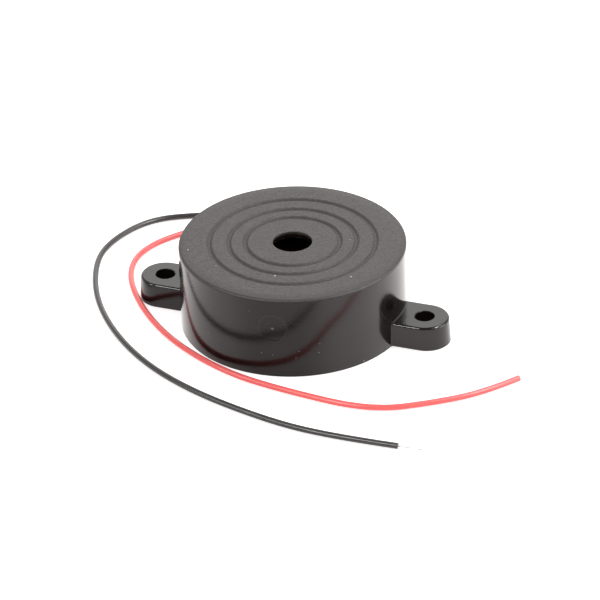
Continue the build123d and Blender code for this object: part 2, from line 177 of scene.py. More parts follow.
# The CAD nodes that have each of these finishes
INNER_NODES = {
    "cover_plastic": ("back_cover",),
    "brass": ("brass_diaphragm",),
    "piezo_ceramic": ("piezo_ceramic",),
    "silver": ("main_electrode", "feedback_electrode"),
    "silicone": ("silicone_bond",),
    "board": ("circuit_board",),
    "copper": ("copper_tracks",),
    "component_black": ("transistor",),
    "ferrite": ("choke_core",),
    "winding": ("choke_winding",),
    "diode_glass": ("polarity_diode",),
    "resistor_body": ("bias_resistor", "feedback_resistor", "base_resistor"),
    "tinned_wire": (
        "transistor_legs", "choke_pins", "diode_legs", "resistor_legs",
        "red_lead_tail", "black_lead_tail",
    ),
    "solder": ("board_solder", "element_solder", "lead_solder"),
    "black_pvc": ("plate_wire",),
    "white_pvc": ("main_wire",),
    "blue_pvc": ("feedback_wire",),
}

# Soft lights: name, power in watts, width, height and place in metres,
# and whether they light matt surfaces too or only show in reflections
LAMPS = (
    ("key_light", 3.4, 0.5, 0.5, (0.52, 0.36, 0.80), True),
    ("back_panel", 5.2, 1.0, 1.0, (-0.25, 1.00, 0.62), True),
    ("left_panel", 4.0, 0.25, 0.25, (-0.68, -0.52, 0.51), False),
    ("rim_panel", 4.5, 0.60, 0.16, (0.46, 0.06, 0.76), False),
    ("right_strip", 10.0, 0.80, 0.14, (1.20, 0.22, 0.08), False),
    ("front_panel", 7.0, 0.25, 0.25, (-0.27, -0.63, 0.58), False),
    ("spark_panel", 7.0, 0.14, 0.14, (0.73, -0.12, 0.60), False),
)


def length(name, description, default):
    """A size in metres that shows in the sidebar."""
    return FloatProperty(name=name, description=description, default=default, unit="LENGTH", precision=5)


def angle(name, description, degrees):
    """An angle that shows in the sidebar."""
    turn = math.radians(degrees)
    return FloatProperty(name=name, description=description, default=turn, subtype="ANGLE")


def colour(name, description, default):
    """A linear colour that shows in the sidebar."""
    return FloatVectorProperty(
        name=name, description=description, default=default, size=3, subtype="COLOR", min=0.0, max=1.0
    )


def share(name, description, default):
    """A plain number from 0 to 1 that shows in the sidebar."""
    return FloatProperty(name=name, description=description, default=default, min=0.0, max=1.0)


def ratio(name, description, default):
    """A plain number of 0 or more that shows in the sidebar."""
    return FloatProperty(name=name, description=description, default=default, min=0.0)


class HousingSizes(bpy.types.PropertyGroup):
    """Sizes and colours of the moulded housing."""

    diameter: length("Body diameter", "Across the round body", HOUSING_HIGH.y - HOUSING_LOW.y)
    height: length("Body height", "From the base to the top", HOUSING_HIGH.z)
    side_wall: length("Side wall", "Thickness of the round wall", 1.95 * MM)
    top_wall: length("Top wall", "Thickness of the top", 1.3 * MM)
    rim: length("Rim rounding", "Radius of the edge round the top", 0.6 * MM)
    roll: length("Rim roll", "Width of the slope inside the rim", 1.8 * MM)
    roll_drop: length("Rim drop", "How far that slope falls to the rim", 0.18 * MM)
    roll_rounding: length("Rim roll rounding", "Radius where that slope meets the top", 9.0 * MM)
    edge: length("Small rounding", "Radius of the small moulded edges", 0.08 * MM)
    base_edge: length("Base rounding", "Radius of the edges at the base and the sound hole", 0.12 * MM)
    sound_hole: length("Sound hole", "Diameter of the hole in the top", 7.1 * MM)
    groove_insets: FloatVectorProperty(
        name="Groove insets", description="From the body's side to the outer edge of each ring groove",
        default=(5.0 * MM, 8.5 * MM, 11.5 * MM), size=3, unit="LENGTH", precision=5,
    )
    groove_width: length("Groove width", "Across the mouth of a ring groove", 1.15 * MM)
    groove_floor: length("Groove floor", "Across the floor of a ring groove", 0.35 * MM)
    groove_depth: length("Groove depth", "Depth of a ring groove", 0.28 * MM)
    groove_rounding: length("Groove rounding", "Radius along the floor of a ring groove", 0.22 * MM)
    groove_edge: length("Groove edge", "Radius along the mouth of a ring groove", 0.24 * MM)
    seat_depth: length("Seat depth", "How far the disc's seat stands below the top wall", 2.2 * MM)
    seat_inner: length("Seat inner radius", "Inside of the disc's seat", 15.9 * MM)
    seat_outer: length("Seat outer radius", "Outside of the disc's seat", 17.1 * MM)
    cover_thickness: length("Cover thickness", "Thickness of the cover that snaps in", 1.5 * MM)
    snap_depth: length("Snap groove depth", "Depth of the groove that the cover snaps into", 0.3 * MM)
    snap_half: length("Snap groove half width", "Half the width of that groove", 0.375 * MM)
    rib_count: IntProperty(name="Ribs", description="Ribs inside the wall", default=6, min=2, max=24)
    rib_height: length("Rib height", "How far a rib stands off the wall", 1.1 * MM)
    rib_width: length("Rib width", "Width of a rib", 1.4 * MM)
    rib_sunk: length("Rib sunk", "How far a rib reaches into the top", 0.2 * MM)
    ear_pitch: length("Ear pitch", "Between the two fixing holes", EARS["spacing_x_mm"] * MM)
    ear_hole: length("Ear hole", "Diameter of a fixing hole", 2 * EARS["hole_r_mm"] * MM)
    ear_hole_lip: length("Ear hole lip", "Width of the bevel at a fixing hole's ends", 0.12 * MM)
    ear_width: length("Ear width", "Across an ear", 8.7 * MM)
    ear_lean: length("Ear lean", "How far an ear's end leans inwards to its top", 0.3 * MM)
    ear_height: length("Ear height", "Thickness of an ear", 4.75 * MM)
    ear_rounding: length("Ear rounding", "Radius of an ear's upper edge", 0.42 * MM)
    ear_blend: length("Ear blend", "Radius where an ear meets the wall", 0.25 * MM)
    gate_diameter: length("Gate mark", "Diameter of the gate mark on the wall", 5.2 * MM)
    gate_depth: length("Gate mark depth", "Depth of the gate mark", 0.15 * MM)
    gate_level: length("Gate mark height", "Height of the gate mark above the base", 10.0 * MM)
    gate_angle: angle("Gate mark angle", "Where the gate mark is round the wall", -80.6)
    nub_diameter: length("Gate nub", "Diameter of the nub in the gate mark", 0.6 * MM)
    nub_height: length("Gate nub height", "Height of the nub", 0.12 * MM)
    notch: length("Lead notch", "Width of a notch for a lead", 1.28 * MM)
    plastic: colour("Plastic", "Colour of the moulding", (0.0055, 0.0036, 0.0031))
    plastic_pale: colour("Paler plastic", "Paler patches of the moulding", (0.0135, 0.0100, 0.0090))
    grained: colour("Grained plastic", "Colour of the grained top", (0.067, 0.062, 0.059))
    # Colour of the real dust flecks, and also of the painted highlight on the gate's nub
    dust_and_highlight: colour("Dust", "Colour of the dust flecks", (0.75, 0.74, 0.72))
    gloss: share("Wall roughness", "Roughness of the wall and the ears", 0.12)
    matt: share("Top roughness", "Roughness of the grained top", 0.5)
    refraction: ratio("Refraction", "Refractive index of the moulding", 1.36)
    grain_start: length("Grain start", "Depth below the top where the grain starts", 0.62 * MM)
    grain_full: length("Grain full", "Depth below the top where the grain is full", 0.32 * MM)
    # Depths over which painted shade darkens the ring grooves
    shade_start: length("Groove shade start", "Depth below the top where the grooves darken", 0.04 * MM)
    shade_full: length("Groove shade full", "Depth below the top where they are darkest", 0.20 * MM)
    grain_size: length("Grain size", "Size of the top's grain", 0.16 * MM)
    grain_depth: length("Grain depth", "Depth of the top's grain", 0.03 * MM)
    speck_size: length("Speck size", "Size of the paler specks", 0.36 * MM)
    speck_depth: length("Speck depth", "Depth of the paler specks", 0.002 * MM)
    patch_size: length("Patch size", "Size of the paler patches", 4.0 * MM)
    wave_size: length("Wave size", "Size of the slow waves of the surface", 9.0 * MM)
    wave_depth: length("Wave depth", "Depth of the slow waves of the surface", 0.03 * MM)
    # Painted highlight: a pale ring along the gate mark's edge
    gate_ring_highlight: length("Gate ring highlight", "Half the width of the line round the gate mark", 0.05 * MM)
    gate_ring_highlight_reach: length("Gate ring highlight reach", "How far that line fades out", 0.22 * MM)
    # Painted highlight: how pale the nub in the gate mark is painted
    nub_painted_highlight: share("Nub highlight", "How pale the nub in the gate mark is", 0.32)
    wall_dust_and_highlight: share("Wall dust and highlight", "How much of the dust shows off the top", 0.38)


class LeadSizes(bpy.types.PropertyGroup):
    """Sizes and colours of the two leads and their bare ends."""

    red_length: length("Red lead", "Length of the red lead's insulation", 0.1594)
    black_length: length("Black lead", "Length of the black lead's insulation", 0.1644)
    radius: length("Lead radius", "Radius over the insulation", LEAD_RADIUS)
    tip: length("Bare end", "Length of the bare strands", 5.0 * MM)
    strands: IntProperty(
        name="Strands", description="Strands round the middle one", default=6, min=3, max=18,
    )
    strand_radius: length("Strand radius", "Radius of one strand", 0.05 * MM)
    twist: angle("Twist", "Turn of the strands over their length", 300)
    splay: share("Splay", "How far the strands open towards their ends", 0.35)
    red: colour("Red insulation", "Colour of the red lead", (1.0, 0.160, 0.155))
    red_deep: colour("Deeper red", "Deeper patches of the red lead", (0.97, 0.125, 0.122))
    black: colour("Black insulation", "Colour of the black lead", (0.022, 0.019, 0.018))
    black_pale: colour("Paler black", "Paler patches of the black lead", (0.050, 0.046, 0.045))
    tin: colour("Tinned copper", "Colour of the bare strands", (0.50, 0.49, 0.48))
    copper: colour("Copper", "Where the tin is thin", (0.42, 0.37, 0.33))


class StageSizes(bpy.types.PropertyGroup):
    """Camera, floor and light."""

    azimuth: angle("Azimuth", "Camera's turn from the front", 20.634)
    elevation: angle("Elevation", "Camera's height angle", 31.054)
    roll: angle("Roll", "Camera's roll", -1.705)
    distance: length("Distance", "From the camera to its target", 1.0)
    aside: length("Target aside", "Target's place to the right", 0.966 * MM)
    above: length("Target above", "Target's place upwards", 3.11 * MM)
    focal_pixels: ratio("Focal length", "In pixels of a 600 pixel image", 5494.75)
    floor_radius: length("Floor radius", "Radius of the pale floor", 1.5)
    floor: colour("Floor", "Colour of the floor", (0.88, 0.88, 0.88))
    floor_glow: share("Floor glow", "Glow of the floor to the camera", 0.6)
    mirrored_floor: colour("Mirrored floor", "Colour of the floor in reflections", (1.0, 0.940, 0.920))
    floor_front: ratio("Mirrored floor, front", "Its strength in front, in reflections", 0.6)
    floor_left: ratio("Mirrored floor, left", "Its strength to the left, in reflections", 1.1)
    floor_right: ratio("Mirrored floor, right", "Its strength to the right, in reflections", 1.6)
    sky: share("Sky", "Strength of the light from all round", 0.95)
    sky_colour: colour("Sky colour", "Colour of that light", (1.0, 0.975, 0.962))
    sky_front: ratio("Mirrored sky, front", "Strength of the rest of the sky, in reflections", 0.45)
    sky_back: ratio("Mirrored sky, back", "Strength of the sky low behind, in reflections", 1.15)


class Signal:
    """Wraps a shader socket, so that Python arithmetic adds Math nodes."""

    def __init__(self, tree, socket):
        self.tree = tree
        self.socket = socket

    def math(self, operation, first, second):
        node = self.tree.nodes.new("ShaderNodeMath")
        node.operation = operation
        feed(self.tree, node.inputs[0], first)
        feed(self.tree, node.inputs[1], second)
        return Signal(self.tree, node.outputs[0])

    def __add__(self, other):
        return self.math("ADD", self, other)

    def __radd__(self, other):
        return self.math("ADD", other, self)

    def __sub__(self, other):
        return self.math("SUBTRACT", self, other)

    def __rsub__(self, other):
        return self.math("SUBTRACT", other, self)

    def __mul__(self, other):
        return self.math("MULTIPLY", self, other)

    def __rmul__(self, other):
        return self.math("MULTIPLY", other, self)

    def __truediv__(self, other):
        return self.math("DIVIDE", self, other)

    def __rtruediv__(self, other):
        return self.math("DIVIDE", other, self)

    def most(self, other):
        return self.math("MAXIMUM", self, other)

    def bearing(self, ahead):
        return self.math("ARCTAN2", self, ahead)


def feed(tree, socket, value):
    """Links a signal to a socket, or sets the socket's own value."""
    if isinstance(value, Signal):
        tree.links.new(value.socket, socket)
    elif socket.type == "RGBA" and len(value) == 3:
        socket.default_value = (*value, 1.0)
    else:
        socket.default_value = value


class Nodes:
    """Adds nodes to one tree."""

    def __init__(self, tree):
        self.tree = tree

    def node(self, kind, sockets=None, settings=None, output=0):
        made = self.tree.nodes.new(kind)
        for name, value in (settings or {}).items():
            setattr(made, name, value)
        for name, value in (sockets or {}).items():
            feed(self.tree, made.inputs[name], value)
        return Signal(self.tree, made.outputs[output]) if made.outputs else None

    def step(self, value, low, high):
        sockets = {"Value": value, "From Min": low, "From Max": high}
        return self.node("ShaderNodeMapRange", sockets, {"interpolation_type": "SMOOTHSTEP"})

    def part(self, vector, axis):
        return self.node("ShaderNodeSeparateXYZ", {"Vector": vector}, output=axis)

    def ray(self, kind):
        return self.node("ShaderNodeLightPath", output=kind)


class Finish(Nodes):
    """One material, built from nodes on Object coordinates."""

    def __init__(self, name):
        self.material = bpy.data.materials.new(name)
        self.material.use_nodes = True
        super().__init__(self.material.node_tree)
        self.tree.nodes.clear()
        self.place = self.node("ShaderNodeTexCoord", output="Object")

    def noise(self, size, detail=2.0, stretch=EVEN):
        scale = tuple(part / size for part in stretch)
        vector = self.node("ShaderNodeMapping", {"Vector": self.place, "Scale": scale})
        return self.node("ShaderNodeTexNoise", {"Vector": vector, "Scale": 1.0, "Detail": detail})

    def distance(self, place):
        sockets = {0: self.place, 1: place}
        return self.node("ShaderNodeVectorMath", sockets, {"operation": "DISTANCE"}, output="Value")

    def mix(self, factor, first, second):
        sockets = {0: factor, 6: first, 7: second}
        return self.node("ShaderNodeMix", sockets, {"data_type": "RGBA"}, output=2)

    def bump(self, height, depth, under=None):
        sockets = {"Height": height, "Distance": depth, "Strength": 1.0}
        if under is not None:
            sockets["Normal"] = under
        return self.node("ShaderNodeBump", sockets)

    def surface(self, **sockets):
        named = {name.replace("_", " "): value for name, value in sockets.items()}
        shader = self.node("ShaderNodeBsdfPrincipled", named)
        self.node("ShaderNodeOutputMaterial", {"Surface": shader})
        return self.material


def moulded_plastic(sizes):
    """Black moulding: glossy on wall and ears, finely grained on top, dust flecks, painted groove shade
    and highlights.
    """
    finish = Finish("moulded_plastic")
    level = finish.part(finish.place, "Z")
    top = finish.step(level, sizes.height - sizes.grain_start, sizes.height - sizes.grain_full)
    # Painted shade, full at the floors of the ring grooves
    painted_groove_shade = 1.0 - finish.step(level, sizes.height - sizes.shade_full, sizes.height - sizes.shade_start)
    grain = finish.noise(sizes.grain_size, 3.0)
    specks = finish.step(finish.noise(sizes.speck_size), 0.3, 0.7)
    patches = finish.noise(sizes.patch_size)
    waves = finish.noise(sizes.wave_size, 1.0)
    gate = Vector((math.cos(sizes.gate_angle), math.sin(sizes.gate_angle), 0.0)) * sizes.diameter / 2
    gate.z = sizes.gate_level
    from_gate = finish.distance(gate)
    mark = sizes.gate_diameter / 2
    # Painted highlight along the edge of the gate mark
    gate_ring_highlight = finish.step(from_gate, mark - sizes.gate_ring_highlight_reach, mark - sizes.gate_ring_highlight)
    beyond = finish.step(from_gate, mark + sizes.gate_ring_highlight, mark + sizes.gate_ring_highlight_reach)
    gate_ring_highlight = gate_ring_highlight * (1.0 - beyond)
    # Painted highlight on the gate's nub, joined with the real dust flecks
    off_nub = finish.step(from_gate, 0.2 * sizes.nub_diameter, 0.6 * sizes.nub_diameter)
    dust_and_nub_highlight = sizes.nub_painted_highlight * (1.0 - off_nub)
    for place, radius in FLECKS:
        spot = 1.0 - finish.step(finish.distance(place), 0.6 * radius * MM, radius * MM)
        dust_and_nub_highlight = dust_and_nub_highlight.most(spot)
    dust_and_nub_highlight = dust_and_nub_highlight * (sizes.wall_dust_and_highlight + (1.0 - sizes.wall_dust_and_highlight) * top)
    base = finish.mix(0.3 * patches + 0.7 * specks, sizes.plastic, sizes.plastic_pale)
    base = finish.mix(top * (0.6 + 0.4 * specks), base, sizes.grained)
    # Painted shade: the grooves' colour darkened in specks towards the wall's plastic colour
    base = finish.mix(0.6 * painted_groove_shade * specks, base, sizes.plastic)
    # Painted highlight: the ring lightened towards the grained top's colour
    base = finish.mix(0.2 * gate_ring_highlight, base, sizes.grained)
    # Real dust flecks and the nub's painted highlight
    base = finish.mix(dust_and_nub_highlight, base, sizes.dust_and_highlight)
    rough = sizes.gloss + 0.04 * patches
    rough = rough + top * (sizes.matt - sizes.gloss + 0.16 * grain - 0.08)
    relief = finish.bump(waves, sizes.wave_depth)
    relief = finish.bump(specks, sizes.speck_depth, under=relief)
    relief = finish.bump(top * (grain + specks), sizes.grain_depth, under=relief)
    return finish.surface(
        Base_Color=base,
        Roughness=rough.most(dust_and_nub_highlight),
        Normal=relief,
        IOR=sizes.refraction,
    )


def insulation(name, main, other):
    """Soft extruded sleeve of a lead."""
    finish = Finish(name)
    patches = finish.noise(2.5 * MM)
    scuffs = finish.noise(0.35 * MM, 3.0)
    return finish.surface(
        Base_Color=finish.mix(0.75 * patches + 0.25 * scuffs, main, other),
        Roughness=0.24 + 0.14 * scuffs,
        Normal=finish.bump(scuffs, 0.012 * MM),
        IOR=1.42,
    )


def tinned_strands(sizes):
    """Tinned copper strands, the copper showing where the tin is thin."""
    finish = Finish("tinned_strands")
    thin = finish.step(finish.noise(0.5 * MM, 3.0), 0.55, 0.7)
    fine = finish.noise(0.06 * MM)
    return finish.surface(
        Base_Color=finish.mix(thin, sizes.tin, sizes.copper),
        Roughness=0.24 + 0.2 * fine,
        Metallic=1.0,
        Normal=finish.bump(fine, 0.006 * MM),
    )


def mottled(name, main, other, grain, roughness, depth, metallic=0.0, stretch=EVEN):
    """A finish of two near colours over a grain, for the parts inside. Lengths are in millimetres."""
    finish = Finish(name)
    patches = finish.noise(8 * grain * MM, stretch=stretch)
    fine = finish.noise(grain * MM, 3.0, stretch)
    return finish.surface(
        Base_Color=finish.mix(0.6 * patches + 0.4 * fine, main, other),
        Roughness=roughness + 0.14 * fine - 0.07,
        Metallic=metallic,
        Normal=finish.bump(fine, depth * MM),
    )


def banded_resistor():
    """Tan lacquer with three narrow bands across the body."""
    finish = Finish("resistor_lacquer")
    fine = finish.noise(0.12 * MM)
    sockets = {"Vector": finish.place, "Scale": 430.0}
    rings = finish.node("ShaderNodeTexWave", sockets, {"bands_direction": "X"}, output=1)
    base = finish.mix(0.5 * fine, (0.64, 0.47, 0.28), (0.56, 0.40, 0.23))
    return finish.surface(
        Base_Color=finish.mix(finish.step(rings, 0.80, 0.88), base, (0.22, 0.06, 0.03)),
        Roughness=0.3 + 0.1 * fine,
        Normal=finish.bump(fine, 0.008 * MM),
    )


def show(name, data):
    """A new object at the origin, in the scene."""
    made = bpy.data.objects.new(name, data)
    bpy.context.scene.collection.objects.link(made)
    return made


def filled(name, bm):
    """A mesh from bmesh faces, turned outwards."""
    bmesh.ops.recalc_face_normals(bm, faces=bm.faces)
    mesh = bpy.data.meshes.new(name)
    bm.to_mesh(mesh)
    bm.free()
    return mesh


def settled(made):
    """The plain mesh that an object's modifiers give."""
    bpy.context.view_layer.update()
    graph = bpy.context.evaluated_depsgraph_get()
    return bpy.data.meshes.new_from_object(made.evaluated_get(graph))


def discard(made):
    """Takes a helper object out of the file."""
    bpy.data.objects.remove(made)


def rounded(corners):
    """Closed outline of (r, z, rounding) corners, with a support point beside each arc."""
    outline = []
    for index, (radius, level, rounding) in enumerate(corners):
        corner = Vector((radius, level))
        if rounding == 0:
            outline.append(corner)
            continue
        before = Vector(corners[index - 1][:2]) - corner
        after = Vector(corners[(index + 1) % len(corners)][:2]) - corner
        before.normalize()
        after.normalize()
        half = before.angle(after) / 2
        reach = rounding / math.tan(half)
        centre = corner + (before + after).normalized() * rounding / math.sin(half)
        start = corner + before * reach - centre
        end = corner + after * reach - centre
        turn = start.angle(end)
        steps = max(3, math.ceil(turn / ARC_STEP))
        outline.append(corner + before * (reach + SUPPORT))
        for step in range(steps + 1):
            passed = turn * step / steps
            swept = start * math.sin(turn - passed) + end * math.sin(passed)
            outline.append(centre + swept / math.sin(turn))
        outline.append(corner + after * (reach + SUPPORT))
    return outline


def turned(bm, outline, sides, closed, place=Matrix.Identity(4)):
    """Turns an outline of (r, z) about the axis. An open one gets flat ends."""
    turns = [math.tau * i / sides for i in range(sides)]
    spokes = [(math.cos(turn), math.sin(turn)) for turn in turns]
    rings = [[bm.verts.new((r * c, r * s, z)) for c, s in spokes] for r, z in outline]
    following = rings[1:] + rings[:1] if closed else rings[1:]
    for ring, other in zip(rings, following):
        for i in range(sides):
            j = (i + 1) % sides
            bm.faces.new((ring[i], ring[j], other[j], other[i]))
    if not closed:
        bm.faces.new(rings[0])
        bm.faces.new(rings[-1])
    bmesh.ops.transform(bm, matrix=place, verts=[vert for ring in rings for vert in ring])


def layered(bm, rings, place=Matrix.Identity(4)):
    """Skins a stack of like rings and closes both ends."""
    made = [[bm.verts.new(place @ Vector(point)) for point in ring] for ring in rings]
    for ring, other in zip(made, made[1:]):
        for i in range(len(ring)):
            j = (i + 1) % len(ring)
            bm.faces.new((ring[i], ring[j], other[j], other[i]))
    bm.faces.new(made[0])
    bm.faces.new(made[-1])


def body_corners(sizes):
    """Corners of the turned body's section, from the base outwards and back inside."""
    outer = sizes.diameter / 2
    inner = outer - sizes.side_wall
    ceiling = sizes.height - sizes.top_wall
    seat = ceiling - sizes.seat_depth
    snap = COVER_BASE + sizes.cover_thickness / 2
    flank = (sizes.groove_width - sizes.groove_floor) / 2
    floor = sizes.height - sizes.groove_depth
    edge = sizes.edge
    corners = [
        (inner, 0, edge),
        (outer, 0, sizes.base_edge),
        (outer, sizes.ear_height + sizes.ear_blend + edge, 0),
        (outer, sizes.height - sizes.roll_drop, sizes.rim),
        (outer - sizes.roll, sizes.height, sizes.roll_rounding),
    ]
    for inset in sizes.groove_insets:
        far = outer - inset
        near = far - sizes.groove_width
        corners += [
            (far, sizes.height, sizes.groove_edge),
            (far - flank, floor, sizes.groove_rounding),
            (near + flank, floor, sizes.groove_rounding),
            (near, sizes.height, sizes.groove_edge),
        ]
    corners += [
        (sizes.sound_hole / 2, sizes.height, sizes.base_edge),
        (sizes.sound_hole / 2, ceiling, edge),
        (sizes.seat_inner, ceiling, 0),
        (sizes.seat_inner, seat, 0),
        (sizes.seat_outer, seat, 0),
        (sizes.seat_outer, ceiling, 0),
        (inner, ceiling, 0),
        (inner, snap + sizes.snap_half, 0),
        (inner + sizes.snap_depth, snap, 0),
        (inner, snap - sizes.snap_half, 0),
    ]
    return corners


def ear_plan(sizes, reach, end):
    """Plan of one ear on the +X side: a corner blended into the wall each side, and a round end."""
    blend = sizes.ear_blend
    wall = sizes.diameter / 2 - SUNK
    middle = math.sqrt((wall + blend) ** 2 - (reach + blend) ** 2)
    first = math.pi + math.atan2(reach + blend, middle)
    side = [(wall - sizes.side_wall / 2, reach + blend)]
    for step in range(EAR_BLEND_STEPS + 1):
        turn = first + (1.5 * math.pi - first) * step / EAR_BLEND_STEPS
        side.append((middle + blend * math.cos(turn), reach + blend + blend * math.sin(turn)))
    plan = [(x, -y) for x, y in side]
    for step in range(EAR_END_STEPS + 1):
        turn = math.pi * (step / EAR_END_STEPS - 0.5)
        plan.append((end + reach * math.cos(turn), reach * math.sin(turn)))
    return plan + side[::-1]


def ear_rings(sizes):
    """Rings of one ear, from its base over its rounded upper edge to the blend up the wall."""
    layers = [(sizes.base_edge, 0.0), (0.0, sizes.base_edge)]
    quarter = [math.pi / 2 * step / EAR_EDGE_STEPS for step in range(EAR_EDGE_STEPS + 1)]
    for turn in quarter:
        inset = sizes.ear_rounding * (1 - math.cos(turn))
        layers.append((inset, sizes.ear_height - sizes.ear_rounding * (1 - math.sin(turn))))
    layers.append((sizes.ear_rounding + EAR_SUPPORT, sizes.ear_height))
    rings = []
    for inset, level in layers:
        end = HOUSING_HIGH.x - sizes.ear_width / 2 - sizes.ear_lean * level / sizes.ear_height
        plan = ear_plan(sizes, sizes.ear_width / 2 - inset, end)
        rings.append([(x, y, level) for x, y in plan])
    wall = sizes.diameter / 2 - SUNK
    for turn in quarter:
        away = wall + sizes.ear_blend * (1 - math.sin(turn))
        level = sizes.ear_height + sizes.ear_blend * (1 - math.cos(turn))
        rings.append([(min(x, math.sqrt(away**2 - y**2)), y, level) for x, y in plan])
    return rings


def geometry_tree(name, inputs):
    """A Geometry Nodes tree with these inputs, their sockets' identifiers and their signals."""
    tree = bpy.data.node_groups.new(name, "GeometryNodeTree")
    sockets = {}
    for key, kind in inputs.items():
        made = tree.interface.new_socket(key, in_out="INPUT", socket_type="NodeSocket" + kind)
        sockets[key] = made.identifier
    tree.interface.new_socket("Geometry", in_out="OUTPUT", socket_type="NodeSocketGeometry")
    group = tree.nodes.new("NodeGroupInput")
    given = {key: Signal(tree, group.outputs[key]) for key in sockets}
    return tree, sockets, given


def rib_tree(material):
    """Geometry Nodes tree for the ribs round the inside of the wall."""
    tree, sockets, given = geometry_tree("wall_ribs", {
        "Count": "Int",
        "Radius": "Float",
        "Size": "Vector",
        "Level": "Float",
    })
    nodes = Nodes(tree)
    spread = {"Vertices": given["Count"], "Radius": given["Radius"]}
    circle = nodes.node("GeometryNodeMeshCircle", spread)
    lift = nodes.node("ShaderNodeCombineXYZ", {"Z": given["Level"]})
    circle = nodes.node("GeometryNodeSetPosition", {"Geometry": circle, "Offset": lift})
    block = nodes.node("GeometryNodeMeshCube", {"Size": given["Size"]})
    index = nodes.node("GeometryNodeInputIndex")
    turn = nodes.node("ShaderNodeCombineXYZ", {"Z": index * math.tau / given["Count"]})
    put = {"Points": circle, "Instance": block, "Rotation": turn}
    ribs = nodes.node("GeometryNodeInstanceOnPoints", put)
    ribs = nodes.node("GeometryNodeRealizeInstances", {"Geometry": ribs})
    ribs = nodes.node("GeometryNodeSetMaterial", {"Geometry": ribs, "Material": material})
    nodes.node("NodeGroupOutput", {"Geometry": ribs})
    return tree, sockets


def grown(name, tree, sockets, values):
    """The plain mesh that a Geometry Nodes tree gives for these inputs."""
    host = show(name, bpy.data.meshes.new(name))
    modifier = host.modifiers.new(name, "NODES")
    modifier.node_group = tree
    for key, value in values.items():
        modifier[sockets[key]] = value
    mesh = settled(host)
    host.modifiers.remove(modifier)
    discard(host)
    return mesh


def combined(body, other, operation):
    """The body's mesh after a boolean with another mesh."""
    base = show("boolean_base", body)
    tool = show("boolean_tool", other)
    modifier = base.modifiers.new("boolean", "BOOLEAN")
    modifier.operation = operation
    modifier.solver = "EXACT"
    modifier.object = tool
    result = settled(base)
    discard(base)
    discard(tool)
    if len(result.polygons) < len(body.polygons) / 2:
        raise RuntimeError("the boolean lost the housing")
    return result


def added_to_body(sizes, material):
    """Ears and ribs, which join the turned body."""
    bm = bmesh.new()
    rings = ear_rings(sizes)
    layered(bm, rings)
    layered(bm, rings, Matrix.Rotation(math.pi, 4, "Z"))
    inner = sizes.diameter / 2 - sizes.side_wall
    ceiling = sizes.height - sizes.top_wall
    deep = sizes.rib_height + sizes.side_wall / 2
    tall = ceiling + sizes.rib_sunk - BOARD_TOP
    tree, sockets = rib_tree(material)
    ribs = grown("wall_ribs", tree, sockets, {
        "Count": sizes.rib_count,
        "Radius": inner - sizes.rib_height + deep / 2,
        "Size": (deep, sizes.rib_width, tall),
        "Level": BOARD_TOP + tall / 2,
    })
    bm.from_mesh(ribs)
    return filled("ears_and_ribs", bm)


def cut_from_body(sizes):
    """Fixing holes, gate mark and lead notches, which are cut out."""
    bm = bmesh.new()
    hole = sizes.ear_hole / 2
    mouth = hole + sizes.ear_hole_lip
    top = sizes.ear_height
    plug = (
        (mouth, -PAST), (mouth, 0), (hole, sizes.ear_hole_lip),
        (hole, top - sizes.ear_hole_lip), (mouth, top), (mouth, top + PAST),
    )
    for side in (-1, 1):
        turned(bm, plug, HOLE_SIDES, False, Matrix.Translation((side * sizes.ear_pitch / 2, 0, 0)))
    nub = sizes.nub_diameter / 2
    mark = sizes.gate_diameter / 2
    plug = [(across * nub, up * sizes.nub_height) for across, up in NUB_SECTION]
    plug += [(mark, 0), (mark, PAST)]
    facing = Matrix.Rotation(sizes.gate_angle, 4, "Z")
    facing = facing @ Matrix.Translation((sizes.diameter / 2 - sizes.gate_depth, 0, sizes.gate_level))
    turned(bm, plug, HOLE_SIDES, False, facing @ Matrix.Rotation(math.pi / 2, 4, "Y"))
    wide = sizes.notch / 2
    arch = [(-wide, -PAST), (wide, -PAST)]
    for step in range(NOTCH_STEPS + 1):
        turn = math.pi * step / NOTCH_STEPS
        arch.append((wide * math.cos(turn), LEAD_LEVEL + wide * math.sin(turn)))
    for route in (RED_ROUTE, BLACK_ROUTE):
        layered(bm, [[(route[0][0] + x, y, z) for x, z in arch] for y in NOTCH_SPAN])
    return filled("cuts", bm)


class BUZZER_OT_housing(bpy.types.Operator):
    """Makes the moulded housing with its ears, grooves, gate mark and ribs"""

    bl_idname = "buzzer.housing"
    bl_label = "Housing"

    def execute(self, context):
        sizes = context.scene.buzzer_housing
        material = moulded_plastic(sizes)
        bm = bmesh.new()
        turned(bm, rounded(body_corners(sizes)), BODY_SIDES, True)
        mesh = combined(filled("turned_body", bm), added_to_body(sizes, material), "UNION")
        mesh = combined(mesh, cut_from_body(sizes), "DIFFERENCE")
        mesh.name = "moulded_housing"
        mesh.materials.clear()
        mesh.materials.append(material)
        mesh.polygons.foreach_set("material_index", [0] * len(mesh.polygons))
        mesh.shade_smooth()
        mesh.set_sharp_from_angle(angle=SHARP)
        housing = show("moulded_housing", mesh)
        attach(housing, BODY)
        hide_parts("housing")
        return {"FINISHED"}


def lead_curve(name, route, radius, material):
    """One lead as a bevelled curve along its route."""
    curve = bpy.data.curves.new(name, "CURVE")
    curve.dimensions = "3D"
    spline = curve.splines.new("NURBS")
    spline.points.add(len(route) - 1)
    for point, place in zip(spline.points, route):
        point.co = (*place, 1.0)
    spline.order_u = 3
    spline.use_endpoint_u = True
    spline.resolution_u = 20
    curve.bevel_depth = radius
    curve.bevel_resolution = 6
    curve.use_fill_caps = True
    curve.materials.append(material)
    return show(name, curve)


